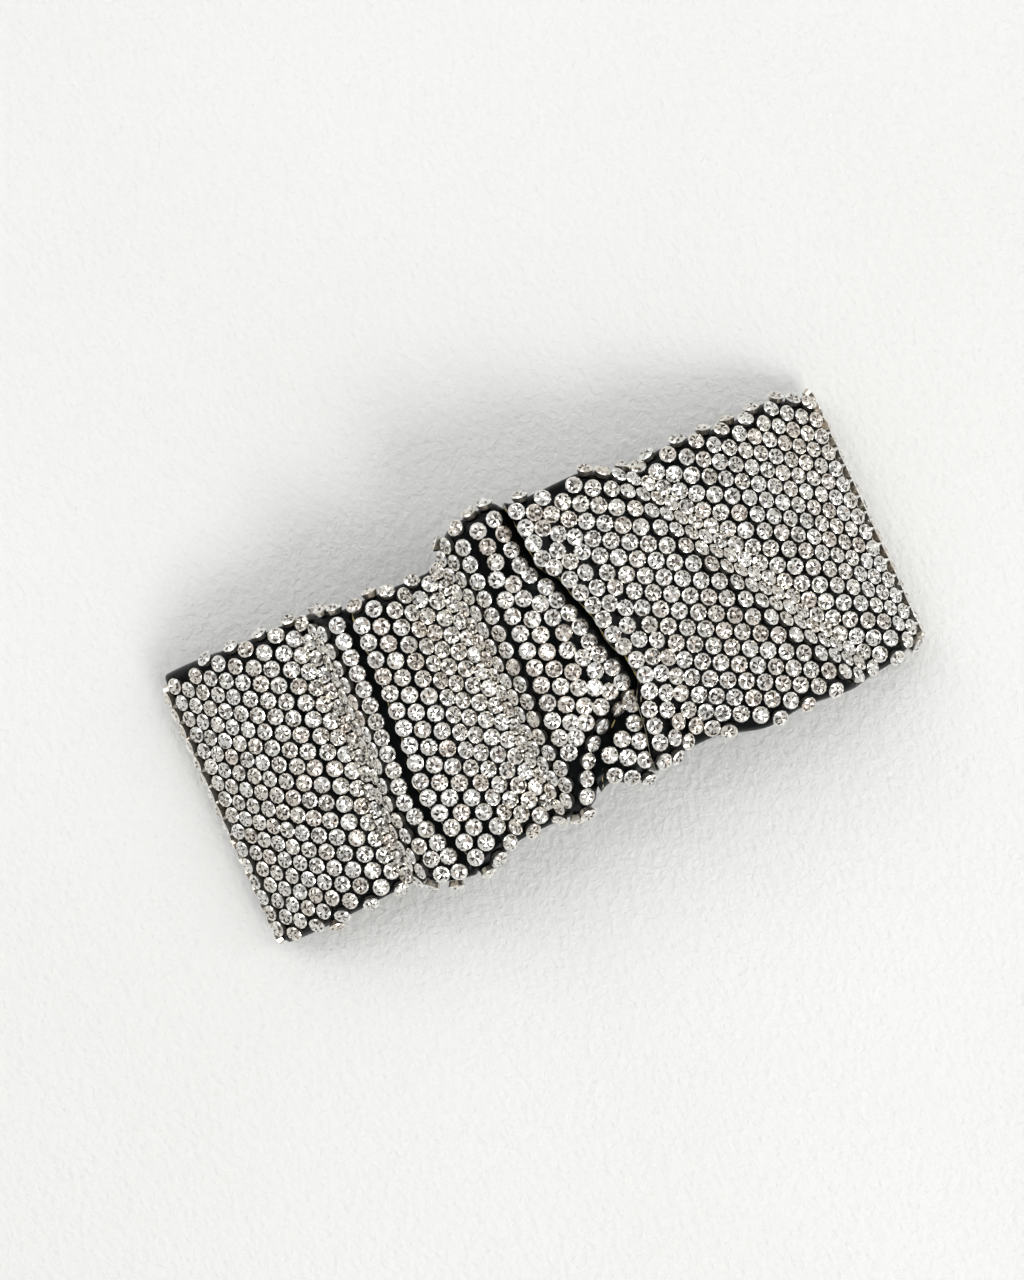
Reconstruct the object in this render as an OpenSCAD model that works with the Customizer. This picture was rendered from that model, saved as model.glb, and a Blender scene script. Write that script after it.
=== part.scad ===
// Ruched rhinestone hair clip: stone-set film sheets pleated over an arched, padded board,
// with an 80 mm sprung barrette clip glued under the felt back.
// Along the clip is X, across it is Y, and the stones face +Z. The clip stands on its two
// turned-down ends at Z = 0, and the origin is under the middle of its outline.

/* [Clip] */
// Length over the two turned-down sheet ends
clip_length = 109; // [98:0.5:130]
// Extra width given to both long edges of the sheets
extra_width = 0; // [-1:0.25:4]
// Radius of the arch, at the underside of the felt
arch_r = 118; // [112:1:142]
// Thickness of the felt back
felt_t = 1; // [0.8:0.1:1.4]
// Thickness of the stiffener board
board_t = 1.2; // [0.8:0.1:1.8]
// Thickness of the foam pad
pad_t = 2; // [1.2:0.1:2.6]
// Gap left between layers that lie on each other
layer_gap = 0.02; // [0.01:0.01:0.05]

/* [Stone sheets] */
// Thickness of the film sheet
film_t = 0.6; // [0.4:0.05:0.8]
// Height of the pleats over the foam pad, as a share of the made height
pleat_rise = 1; // [0.7:0.05:1.15]
// Radius of the roll where a sheet turns down over a long edge or an end
roll_r = 2.2; // [1.6:0.1:2.6]
// How far a sheet runs on under the next one
tongue = 3.6; // [2.4:0.2:4.5]

/* [Stones] */
// Diameter of a stone
stone_d = 2.4; // [2:0.05:2.5]
// Height of a stone over the film
stone_h = 1.3; // [1:0.05:1.6]
// Distance from stone to stone in a row across the clip
stone_pitch = 2.7; // [2.6:0.05:3.2]
// Thickness of the glue under a stone
stone_seat = 0.12; // [0.05:0.01:0.2]

/* [Barrette plate] */
// Length of the barrette plate
plate_len = 80; // [76:1:84]
// Width of the barrette plate
plate_w = 9; // [8:0.5:12]
// Thickness of the barrette plate
plate_t = 0.8; // [0.6:0.1:1]
// Thickness of the glue bed over the plate
glue_t = 0.3; // [0.2:0.05:0.5]
// Diameter of the sewing hole near each end of the plate
sewing_hole_d = 1.8; // [1.2:0.1:2.2]
// Distance between the two sewing holes
sewing_pitch = 76.6; // [76.2:0.1:77]

/* [Locking bar] */
// Distance from the hinge pin to the middle of the catch
catch_reach = 68; // [66:0.5:69]
// Width of the locking bar
bar_w = 6; // [5:0.25:7.25]
// Thickness of the locking bar
bar_t = 0.8; // [0.6:0.05:1]
// Rise of the locking bar in its middle
bar_rise = 0.7; // [0.4:0.1:1]
// Gap between the plate and the roll of the bar round the pin
pin_drop = 0.9; // [0.6:0.1:1]
// Diameter of the hinge pin
pin_d = 1.2; // [1:0.05:1.45]
// Radial clearance of the bar on the hinge pin
pin_gap = 0.05; // [0.02:0.01:0.08]
// Thickness of the tension bar
tension_t = 0.4; // [0.3:0.05:0.5]
// Width of the tension bar
tension_w = 4.4; // [3.5:0.1:5]

/* [Catch] */
// Thickness of the catch bracket and of its two legs
catch_t = 0.45; // [0.35:0.05:0.5]
// Width of the window in the end of the locking bar
window_w = 4.4; // [4.2:0.1:4.8]
// Length of a catch leg along the clip
leg_len = 3; // [2:0.25:3.5]
// How far a hook reaches under the locking bar
hook_reach = 0.45; // [0.3:0.05:0.5]

/* [Hidden] */
$fn = 64;

// Layers, outwards from the middle of the arch. pad_r is the surface that the sheets lie on.
board_r = arch_r + felt_t + layer_gap;
pad_base_r = board_r + board_t + layer_gap;
pad_r = pad_base_r + pad_t;
stack = pad_r - arch_r;
end_angle = asin(clip_length / 2 / pad_r);
end_u = pad_r * end_angle * PI / 180;
arch_z = -arch_r * cos(end_angle);
arch_fn = 720;
rest_t = film_t + 0.15;
// Room between the turned-down film and the edges of the felt and the board
edge_gap = 0.5;

// ---- Smooth curves through a few knots ----

function slope_at(k, i) =
    i == 0 || i == len(k) - 1 ? 0
    : let (a = (k[i][1] - k[i - 1][1]) / (k[i][0] - k[i - 1][0]),
        b = (k[i + 1][1] - k[i][1]) / (k[i + 1][0] - k[i][0]))
      a * b <= 0 ? 0 : 2 * a * b / (a + b);

// Value at s of the smooth curve through the [place, value] knots k
function through(k, s, i = 0) =
    s <= k[0][0] ? k[0][1]
    : i >= len(k) - 1 ? k[len(k) - 1][1]
    : s > k[i + 1][0] ? through(k, s, i + 1)
    : let (w = k[i + 1][0] - k[i][0], t = (s - k[i][0]) / w)
      k[i][1] * (1 + 2 * t) * (1 - t) * (1 - t) + slope_at(k, i) * w * t * (1 - t) * (1 - t)
      + k[i + 1][1] * t * t * (3 - 2 * t) - slope_at(k, i + 1) * w * t * t * (1 - t);

function ease(t) = t <= 0 ? 0 : t >= 1 ? 1 : t * t * (3 - 2 * t);

// A soft round hollow or swelling of radii a and b about [x, y]
function dimple(u, v, x, y, a, b) = exp(-pow((u - x) / a, 2) - pow((v - y) / b, 2));

// ---- Outline and fold lines, all in millimetres along (u) and across (v) the clip ----

FRONT_EDGE = [[-55, 23.2], [-33, 22.1], [-21.6, 24.4], [-14, 22.5], [-4, 22.5], [1.4, 20.2],
    [4.4, 21.8], [13, 20.6], [18, 20.7], [26, 22.7], [31, 22.3], [41, 23.3], [49, 22.8], [55, 21.6]];
BACK_EDGE = [[-55, 22.8], [-40, 21.8], [-30, 21.5], [-24, 19.7], [-11, 19.5], [-4, 24],
    [2.5, 24.5], [5.5, 23.2], [15, 23.4], [24, 21], [30, 21.8], [42, 21.2], [49, 21.9], [55, 20.4]];
CUT_1 = [[-24, -20.8], [-20, -21.4], [-15, -22.7], [-9.5, -23.8], [-6, -23.3], [0, -22.7],
    [9, -22.2], [20, -21.9]];
CREST_1 = [[-20, -26.8], [-10, -27], [-2, -25.6], [20, -25.2]];
CUT_2 = [[-23, 7.6], [-17.4, 8.6], [-12.5, 9.2], [-8.4, 10.8], [-4.4, 10.4], [-1.4, 9.2],
    [3.6, 8.5], [8, 7.1], [10.6, 6.5], [13.6, 4.6], [19, 4.3], [24, 3.9]];
CUT_3 = [[-22, -0.6], [-19.3, 0.4], [-15.3, 2.3], [-11.3, 6.2], [-9.3, 10.4]];

// Half width of the outline at u, on the side that v is on
function half_width(u, v) = extra_width + through(v < 0 ? FRONT_EDGE : BACK_EDGE, u);
// Left edge of the centre sheet, of the right sheet and of the small pleat
function cut_1(v) = through(CUT_1, v);
function cut_2(v) = through(CUT_2, v);
function cut_3(v) = through(CUT_3, v);
// Where the centre sheet goes under the next piece
function cut_c(v) = v > CUT_3[4][0] ? cut_2(v) : min(cut_2(v), cut_3(v));
function crest_1(v) = through(CREST_1, v);
function right_valley(v) = 34.6 - 0.5 * v;

// ---- Relief of each sheet over the foam pad ----

function left_relief(u, v) = through([[-end_u, 1.2], [-48, 2.4], [-42, 3], [-37, 2.4],
        [crest_1(v) - 5.6, 0.1], [crest_1(v) + 0.2, 4.4], [cut_1(v), 3.7],
        [cut_1(v) + tongue, 3]], u);

function centre_relief(u, v) = through([[cut_1(v), 5.3], [cut_1(v) + 5, 4.5], [-13.2, 1.5],
        [-8.6, 0.1], [-3, 5], [1.2, 5.5], [cut_2(v) - 1, 4.6], [cut_2(v) + tongue, 3.2]], u)
    - 2.8 * ease((u - cut_3(v) + 3.6) / 3) * ease((-8.5 - v) / 1.5);

function right_relief(u, v) = through([[cut_2(v), 6], [cut_2(v) + 7, 4.9],
        [right_valley(v) - 8, 4.8], [right_valley(v), 1.1], [right_valley(v) + 5.5, 2.2],
        [end_u, 0.6]], u)
    - 2.4 * dimple(u, v, 17, -20, 5.5, 6);

function pleat_relief(u, v) = 4.1 - 0.5 * ease((-17 - v) / 5);

// Sheets by number: 0 left, 1 centre, 2 right, 3 small pleat
function relief(sheet, u, v) = rest_t + pleat_rise
    * (sheet == 0 ? left_relief(u, v) : sheet == 1 ? centre_relief(u, v)
        : sheet == 2 ? right_relief(u, v) : pleat_relief(u, v));

// ---- The bent surface ----

// Lays a point at u along, y across and t over the pad onto the arch
function on_arch(u, y, t) = let (a = u / pad_r * 180 / PI)
    [(pad_r + t) * sin(a), y, arch_z + (pad_r + t) * cos(a)];

// [place, drop] of a run of length s that rolls down over an edge at e
function roll(s, e, r) = let (m = abs(s), over = max(0, m - e + r), a = min(90, over / r * 180 / PI))
    [sign(s) * (min(m, e - r) + r * sin(a)), r * (1 - cos(a)) + max(0, over - r * PI / 2)];

function skin(sheet, u, v) =
    let (x = roll(u, end_u, roll_r), y = roll(v, half_width(x[0], v), roll_r))
    on_arch(x[0], y[0], relief(sheet, x[0], y[0]) - norm([x[1], y[1]]));

function unit(v) = v / norm(v);

function skin_normal(sheet, u, v) = let (e = 0.4)
    unit(cross(skin(sheet, u + e, v) - skin(sheet, u - e, v),
        skin(sheet, u, v + e) - skin(sheet, u, v - e)));

// ---- Sheets ----

// A run of places from a to b in about equal steps
function steps(a, b, n) = [for (i = [0 : n]) a + (b - a) * i / n];

// One sheet point. along is [u, roll angle at the end], across is [share of the half width,
// roll angle at the edge], and inset is 0 on the outer face and the film's thickness inside.
// An angle over 90 is the foot of the turned-down edge, and hide is how far the sheet has gone
// under the next one.
function sheet_point(sheet, along, across, inset, hide) =
    let (e = end_u - inset, r = roll_r - inset,
        u = along[1] == 0 ? along[0] : sign(along[0]) * (e - r + r * sin(min(90, along[1]))),
        half = half_width(u, across[0]) - inset - (film_t + 0.3) * ease(2 * hide - 1),
        y = across[0] * (half - r) + sign(across[0]) * r * sin(min(90, across[1])),
        drop = norm([r * (1 - cos(min(90, along[1]))), r * (1 - cos(min(90, across[1])))]),
        foot = along[1] > 90 || across[1] > 90,
        top = relief(sheet, u, y) - inset * 1.2 - drop,
        low = -stack + (top + stack - 0.5) * ease(2 * hide))
    on_arch(u - (across[1] > 90 && along[1] == 90 ? sign(along[0]) * 0.1 : 0),
        y - (along[1] > 90 && across[1] == 90 ? sign(across[0]) * 0.1 : 0), foot ? low : top);

ROLL = [30, 60, 90, 91];
function across_stations(n) = concat([for (a = [3 : -1 : 0]) [-1, ROLL[a]]],
    [for (i = [0 : n]) [2 * i / n - 1, 0]], [for (a = ROLL) [1, a]]);

// Closed shell between two grids of points with the same rows and columns
module shell(outer, inner) {
    rows = len(outer);
    cols = len(outer[0]);
    count = rows * cols;
    rim = concat([for (j = [0 : cols - 2]) j], [for (i = [0 : rows - 2]) i * cols + cols - 1],
        [for (j = [cols - 1 : -1 : 1]) (rows - 1) * cols + j], [for (i = [rows - 1 : -1 : 1]) i * cols]);
    quads = [for (i = [0 : rows - 2], j = [0 : cols - 2])
        [i * cols + j, (i + 1) * cols + j, (i + 1) * cols + j + 1, i * cols + j + 1]];
    outer_faces = [for (q = quads, f = [[q[0], q[1], q[2]], [q[0], q[2], q[3]]]) f];
    inner_faces = [for (f = outer_faces) [f[2] + count, f[1] + count, f[0] + count]];
    rim_faces = [for (i = [0 : len(rim) - 1]) let (a = rim[i], b = rim[(i + 1) % len(rim)])
        each [[a, b, a + count], [b, b + count, a + count]]];
    polyhedron(concat([for (row = outer, p = row) p], [for (row = inner, p = row) p]),
        concat(outer_faces, inner_faces, rim_faces));
}

// Stations along a sheet at v: [u, roll angle, hide]
function left_stations(v) = concat([for (a = [3 : -1 : 0]) [-end_u, ROLL[a], 0]],
    [for (u = steps(-end_u + roll_r, cut_1(v) - 2.4, 12)) [u, 0, 0]], tongue_stations(cut_1(v)));
function centre_stations(v) = concat(
    [for (u = steps(cut_1(v), cut_c(v) - 2.4, 16)) [u, 0, 0]], tongue_stations(cut_c(v)));
function right_stations(v) = concat([for (u = steps(cut_2(v), end_u - roll_r, 20)) [u, 0, 0]],
    [for (a = ROLL) [end_u, a, 0]]);
function pleat_stations(v) = concat(
    [for (u = steps(cut_3(v), cut_2(v) - 2.4, 6)) [u, 0, 0]], tongue_stations(cut_2(v)));
function tongue_stations(c) = [[c - 1.2, 0, 0.5], [c - 0.1, 0, 1], [c + tongue / 2, 0, 1],
    [c + tongue, 0, 1]];

function stations(sheet, v) = sheet == 0 ? left_stations(v) : sheet == 1 ? centre_stations(v)
    : sheet == 2 ? right_stations(v) : pleat_stations(v);

module sheet(number, across) {
    outer = [for (a = across) let (v = 22 * a[0])
        [for (s = stations(number, v)) sheet_point(number, s, a, 0, s[2])]];
    inner = [for (a = across) let (v = 22 * a[0])
        [for (s = stations(number, v)) sheet_point(number, s, a, film_t, s[2])]];
    shell(outer, inner);
}

module left_sheet() {
    color([0.03, 0.03, 0.035]) sheet(0, across_stations(20));
}

module centre_sheet() {
    color([0.03, 0.03, 0.035]) sheet(1, across_stations(20));
}

module right_sheet() {
    color([0.03, 0.03, 0.035]) sheet(2, across_stations(20));
}

// The little pleat lies only at the front edge, between the centre and right sheets
module small_pleat() {
    top = -10 / 22;
    color([0.03, 0.03, 0.035]) sheet(3, concat([for (a = [3 : -1 : 0]) [-1, ROLL[a]]],
        [for (w = steps(-1, top, 6)) [w, 0]]));
}

// ---- Stones ----

module stone() {
    r = stone_d / 2;
    rotate_extrude($fn = 16) polygon([[0, 0], [r, 0], [r, stone_h * 0.35], [r * 0.58, stone_h],
        [0, stone_h]]);
}

module stone_on(sheet, u, v) {
    n = skin_normal(sheet, u, v);
    p = skin(sheet, u, v) + n * stone_seat;
    translate(p) rotate([0, acos(n[2]), atan2(n[1], n[0])]) stone();
}

// Places of the stone columns at v, laid from a towards b in equal steps over the surface
function columns(sheet, v, a, b) = let (w = stone_pitch * sqrt(3) / 2, d = sign(b - a))
    [for (u = a; d * (b - u) > 0; u = u + d * w / steep(sheet, u + d * w / 2, v)) u];
function steep(sheet, u, v) = let (x = roll(u, end_u, roll_r)[0], e = 0.5)
    abs(u) > end_u - roll_r ? 1
    : norm([1, (relief(sheet, x + e, v) - relief(sheet, x - e, v)) / (2 * e)]);

function bare_front(u) = through([[-55, 2], [-46, 0.2], [8, 0.4], [12, 1.6], [20, 0.6], [25, 1.8],
    [30, 0.4], [34, 1.6], [49, 1.6], [52, 0]], u);
function bare_back(u) = through([[-52, 2.6], [-43, 0.6], [-30, 0], [2, 0], [5, 1], [14, 1.2],
    [18, 0]], u);
function in_outline(u, v) = v < half_width(u, v) + 0.7 - bare_back(u)
    && v > -half_width(u, v) - 0.7 + bare_front(u);

// Stones of a sheet in the half rows from v_from to v_to. The columns are laid from the line
// start towards from and towards to, and each is a list with one place for each half row.
module stones(sheet, v_from, v_to, start, from, to) {
    rows = half_rows(v_from, v_to);
    for (i = [0 : len(rows) - 1]) {
        left = columns(sheet, rows[i], start[i], from[i]);
        right = columns(sheet, rows[i], start[i], to[i]);
        m = round(rows[i] / stone_pitch * 2);
        for (k = [0 : 1 : len(left) - 1])
            if ((k + m) % 2 == 0 && in_outline(left[k], rows[i])) stone_on(sheet, left[k], rows[i]);
        for (k = [1 : 1 : len(right) - 1])
            if ((k + m) % 2 == 0 && in_outline(right[k], rows[i]))
                stone_on(sheet, right[k], rows[i]);
    }
}

// Stones that fill the room left between a cut edge and the stones nearest to it. edges is
// where they go in each half row, and first is the nearest stone of each.
module edge_stones(sheet, rows, edges, first) {
    for (i = [0 : len(rows) - 1])
        if (has_room(i, edges, first) && in_outline(edges[i], rows[i]) && (i % 2 == 0
            || !(has_room(i - 1, edges, first) || has_room(i + 1, edges, first))))
            stone_on(sheet, edges[i], rows[i]);
}

function has_room(i, edges, first) = i >= 0 && i < len(edges)
    && first[i] - edges[i] > stone_d + 0.1
    && (i == 0 || first[i - 1] - edges[i] > stone_d * 0.86)
    && (i == len(edges) - 1 || first[i + 1] - edges[i] > stone_d * 0.86);

// The places in v of all the half rows between two limits
function half_rows(v_from, v_to) = let (half = stone_pitch / 2)
    [for (m = [ceil(v_from / half) : floor(v_to / half)]) m * half];

module left_stones() {
    rows = half_rows(-25.6, 25.6);
    color([0.86, 0.86, 0.88]) stones(0, -25.6, 25.6, [for (v = rows) crest_1(v)],
        [for (v = rows) -end_u - 3], [for (v = rows) cut_1(v) - 1.35]);
}

module centre_stones() {
    rows = half_rows(-25.6, 26.6);
    color([0.82, 0.82, 0.84]) stones(1, -25.6, 26.6, [for (v = rows) cut_1(v) + 1.1],
        [for (v = rows) cut_1(v) + 0.8], [for (v = rows) cut_c(v) - (v > CUT_3[4][0] ? 1.7 : 2.8)]);
}

module right_stones() {
    rows = half_rows(-25.6, 26.6);
    color([0.9, 0.9, 0.92]) {
        stones(2, -25.6, 26.6, [for (v = rows) 22.3], [for (v = rows) cut_2(v) + 0.4],
            [for (v = rows) end_u + 3]);
        edge_stones(2, rows, [for (v = rows) cut_2(v) + 0.7],
            [for (v = rows) let (m = round(v / stone_pitch * 2),
                left = columns(2, v, 22.3, cut_2(v) + 0.4))
                min([for (k = [0 : 1 : len(left) - 1]) if ((k + m) % 2 == 0) left[k]])]);
    }
}

module pleat_stones() {
    rows = half_rows(-23, -10.6);
    color([0.84, 0.84, 0.86]) stones(3, -23, -10.6, [for (v = rows) cut_2(v) - 1.4],
        [for (v = rows) cut_3(v) + 1.2 + 2 * ease((-15 - v) / 4)], [for (v = rows) cut_2(v) - 1.4]);
}

// ---- Felt, board and foam ----

// Plate bent round the arch between two radii, cut to the outline less an inset
module layer(r_in, r_out, inset) {
    us = steps(-end_u + inset, end_u - inset, 36);
    xs = [for (u = us) pad_r * sin(u / pad_r * 180 / PI)];
    intersection() {
        ring(r_in, r_out, 60, arch_z);
        linear_extrude(60) polygon(concat(
            [for (i = [0 : 36]) [xs[i] * r_in / pad_r, inset - half_width(us[i], -1)]],
            [for (i = [36 : -1 : 0]) [xs[i] * r_in / pad_r, half_width(us[i], 1) - inset]]));
    }
}

// Ring about an axis along Y at height z
module ring(r_in, r_out, w, z) {
    translate([0, 0, z]) rotate([90, 0, 0]) difference() {
        cylinder(h = w, r = r_out, center = true, $fn = arch_fn);
        cylinder(h = w + 1, r = r_in, center = true, $fn = arch_fn);
    }
}

module felt_back() {
    color([0.08, 0.08, 0.09]) layer(arch_r, arch_r + felt_t, film_t + edge_gap);
}

module stiffener_board() {
    color([0.62, 0.55, 0.44]) layer(board_r, board_r + board_t, film_t + edge_gap);
}

module foam_pad() {
    color([0.9, 0.88, 0.8]) layer(pad_base_r, pad_r, film_t + edge_gap + 0.4);
}

// ---- Barrette clip ----

glue_r = arch_r - layer_gap;
plate_r = glue_r - glue_t - layer_gap;
under_r = plate_r - plate_t;
pin_x = -catch_reach / 2;
catch_x = catch_reach / 2;
knuckle_r = pin_d / 2 + pin_gap + 0.5;
// Height of the arched face of radius r at x
function face_z(r, x) = arch_z + sqrt(r * r - x * x);
pin_z = face_z(under_r, pin_x) - knuckle_r - pin_drop;
ear_t = 0.6;
ear_y = bar_w / 2 + 0.15;
bar_end_z = pin_z - 0.05;
bar_arc_r = (catch_x * catch_x + bar_rise * bar_rise) / (2 * bar_rise);
bar_arc_z = bar_end_z + bar_rise - bar_arc_r;

// Part of a bent strip: the ring between two radii, from x_from to x_to, w wide
module strip(r_in, r_out, x_from, x_to, w, z) {
    intersection() {
        ring(r_in, r_out, w, z);
        translate([x_from, -w, -20]) cube([x_to - x_from, 2 * w, 60]);
    }
}

module across_cylinder(x, z, r, w, fn = 48) {
    translate([x, 0, z]) rotate([90, 0, 0]) cylinder(h = w, r = r, center = true, $fn = fn);
}

module glue_bed() {
    color([0.85, 0.8, 0.6, 0.8])
        strip(glue_r - glue_t, glue_r, -plate_len / 2 + 5, plate_len / 2 - 5, plate_w - 1.5, arch_z);
}

module barrette_plate() {
    color([0.75, 0.75, 0.77]) difference() {
        union() {
            strip(under_r, plate_r, -plate_len / 2, plate_len / 2, plate_w, arch_z);
            for (side = [-1, 1]) plate_ear(side);
        }
        across_cylinder(pin_x, pin_z, pin_d / 2, plate_w + 2);
        for (side = [-1, 1]) translate([side * sewing_pitch / 2, 0, -5])
            cylinder(h = 20, d = sewing_hole_d, $fn = 32);
        translate([catch_x, 0, -5]) cylinder(h = 20, d = rivet_d, $fn = 32);
    }
}

module plate_ear(side) {
    r = knuckle_r + 0.25;
    translate([pin_x, side * (ear_y + ear_t / 2), 0]) rotate([90, 0, 0])
        linear_extrude(ear_t, center = true) union() {
            translate([0, pin_z]) circle(r, $fn = 48);
            translate([-r, pin_z]) square([2 * r, face_z(under_r, pin_x) - pin_z + 0.35]);
        }
}

module hinge_pin() {
    head = 0.4;
    w = 2 * (ear_y + ear_t);
    color([0.6, 0.6, 0.62]) union() {
        across_cylinder(pin_x, pin_z, pin_d / 2, w + 0.2);
        for (side = [-1, 1]) translate([0, side * (w / 2 + 0.1 + head / 2), 0])
            across_cylinder(pin_x, pin_z, pin_d / 2 + 0.25, head);
    }
}

window_len = leg_len + 0.8;
bar_tip = catch_x + window_len / 2 + 1.4;
bar_head_w = window_w + 3.2;

module locking_bar() {
    color([0.75, 0.75, 0.77]) difference() {
        union() {
            strip(bar_arc_r - bar_t / 2, bar_arc_r + bar_t / 2, pin_x + 0.7, bar_tip, bar_w,
                bar_arc_z);
            strip(bar_arc_r - bar_t / 2, bar_arc_r + bar_t / 2, catch_x - window_len / 2 - 1.2,
                bar_tip, bar_head_w, bar_arc_z);
            across_cylinder(pin_x, pin_z, knuckle_r, bar_w);
        }
        across_cylinder(pin_x, pin_z, pin_d / 2 + pin_gap, bar_w + 2);
        translate([catch_x - window_len / 2, -window_w / 2, -5]) cube([window_len, window_w, 20]);
    }
}

// The tension bar is flatter than the plate, so it stands off it in the middle
tension_half = 31;
tension_off = 0.55;
tension_ends_z = face_z(under_r, tension_half) - 0.12;
tension_top_z = face_z(under_r, 0) - tension_off;
tension_rise = tension_top_z - tension_ends_z;
tension_r = (tension_half * tension_half + tension_rise * tension_rise) / (2 * tension_rise);

module tension_bar() {
    color([0.7, 0.7, 0.73]) strip(tension_r - tension_t, tension_r, -tension_half, tension_half,
        tension_w, tension_top_z - tension_r);
}

rivet_d = 1.6;
bracket_len = leg_len + 1.4;
bracket_z = face_z(under_r, catch_x + bracket_len / 2) - layer_gap;
leg_root_r = 0.3;
leg_y = window_w / 2 - 0.22 - catch_t / 2;
leg_axis_z = bracket_z - catch_t - leg_root_r - 0.03;
bar_under_z = bar_end_z - bar_t / 2 - 0.15;

module catch_bracket() {
    w = 2 * (leg_y - leg_root_r - 0.08);
    color([0.72, 0.72, 0.74]) difference() {
        union() {
            translate([catch_x - bracket_len / 2, -plate_w / 2 + 1, bracket_z - catch_t])
                cube([bracket_len, plate_w - 2, catch_t]);
            translate([catch_x - leg_len / 2, -w / 2, bracket_z - catch_t - 0.5])
                cube([leg_len, w, 0.6]);
        }
        translate([catch_x, 0, -5]) cylinder(h = 20, d = rivet_d, $fn = 32);
    }
}

module catch_rivet() {
    top = face_z(plate_r, catch_x + 1) - 0.05;
    bottom = bracket_z - catch_t - 0.5;
    color([0.6, 0.6, 0.62]) union() {
        translate([catch_x, 0, bottom]) cylinder(h = top - bottom, d = rivet_d, $fn = 32);
        translate([catch_x, 0, bottom - 0.35]) cylinder(h = 0.35, d = rivet_d + 0.6, $fn = 32);
    }
}

// One leg hangs from the bracket through the window and hooks under the bar
module catch_leg(side) {
    hook_z = bar_under_z - 0.08;
    tip_z = 0.9;
    inner = leg_y - catch_t / 2;
    outer = leg_y + catch_t / 2;
    translate([catch_x, 0, 0]) rotate([90, 0, 90]) linear_extrude(leg_len, center = true)
        scale([side, 1]) union() {
            translate([leg_y, leg_axis_z]) circle(leg_root_r, $fn = 32);
            polygon([[inner, tip_z], [outer, tip_z], [outer, hook_z - 0.75],
                [window_w / 2 + hook_reach, hook_z], [outer, hook_z], [outer, leg_axis_z],
                [inner, leg_axis_z]]);
        }
}

module catch_leg_front() {
    color([0.72, 0.72, 0.74]) catch_leg(-1);
}

module catch_leg_rear() {
    color([0.72, 0.72, 0.74]) catch_leg(1);
}

felt_back();
stiffener_board();
foam_pad();
left_sheet();
centre_sheet();
right_sheet();
small_pleat();
left_stones();
centre_stones();
right_stones();
pleat_stones();
glue_bed();
barrette_plate();
tension_bar();
locking_bar();
hinge_pin();
catch_bracket();
catch_rivet();
catch_leg_front();
catch_leg_rear();
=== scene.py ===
# %% [markdown]
# # A ruched rhinestone hair clip
# The clip is a small upholstered thing: an arched fibre board with a foam pad on it, three
# sheets of glossy black film set with glass stones, pleated over each other and turned down
# round the edges, and a sprung steel barrette glued under the felt back.
# The CAD model holds the sizes and the moving parts. Here each piece gets its real surface.

# %% Load the fixed frame
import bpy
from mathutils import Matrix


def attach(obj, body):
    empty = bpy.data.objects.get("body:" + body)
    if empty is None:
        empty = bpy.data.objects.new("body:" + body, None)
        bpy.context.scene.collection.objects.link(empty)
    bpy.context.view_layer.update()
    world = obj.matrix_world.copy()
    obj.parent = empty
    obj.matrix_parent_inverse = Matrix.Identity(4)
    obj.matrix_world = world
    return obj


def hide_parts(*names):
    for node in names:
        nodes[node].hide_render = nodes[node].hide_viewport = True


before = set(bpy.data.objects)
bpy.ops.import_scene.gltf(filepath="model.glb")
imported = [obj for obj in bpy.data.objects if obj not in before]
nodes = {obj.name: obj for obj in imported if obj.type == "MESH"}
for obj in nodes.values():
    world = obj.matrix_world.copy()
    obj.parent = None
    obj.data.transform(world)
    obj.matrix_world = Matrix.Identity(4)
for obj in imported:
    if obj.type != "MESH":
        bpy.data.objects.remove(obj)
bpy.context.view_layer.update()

import math

import bpy
import numpy as np
from mathutils import Vector

MM = 0.001

# %% [markdown]
# ## Sizes
# The arch is a plain cylinder about a line along Y, so every layer is a radius. All sizes are
# the CAD part's own, in millimetres.

# %% The arch and its layers
CLIP_LENGTH, ARCH_R = 109.0, 118.0
FELT_T, BOARD_T, PAD_T, LAYER_GAP, FILM_T = 1.0, 1.2, 2.0, 0.02, 0.6
EDGE_GAP, ROLL_R, TONGUE = 0.5, 2.2, 3.6
BOARD_R = ARCH_R + FELT_T + LAYER_GAP
PAD_BASE_R = BOARD_R + BOARD_T + LAYER_GAP
PAD_R = PAD_BASE_R + PAD_T
STACK = PAD_R - ARCH_R
END_ANGLE = math.asin(CLIP_LENGTH / 2 / PAD_R)
END_U = PAD_R * END_ANGLE
ARCH_Z = -ARCH_R * math.cos(END_ANGLE)
REST_T = FILM_T + 0.15
print(f"pad radius {PAD_R:.2f}, half length along the arch {END_U:.2f}, stack {STACK:.2f}")

# %% [markdown]
# ## Curves through a few knots
# The outline, the cut edges and the pleats are all smooth curves through a few measured
# places. A monotone cubic never overshoots its knots, so a pleat stays as high as it is set.


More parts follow.
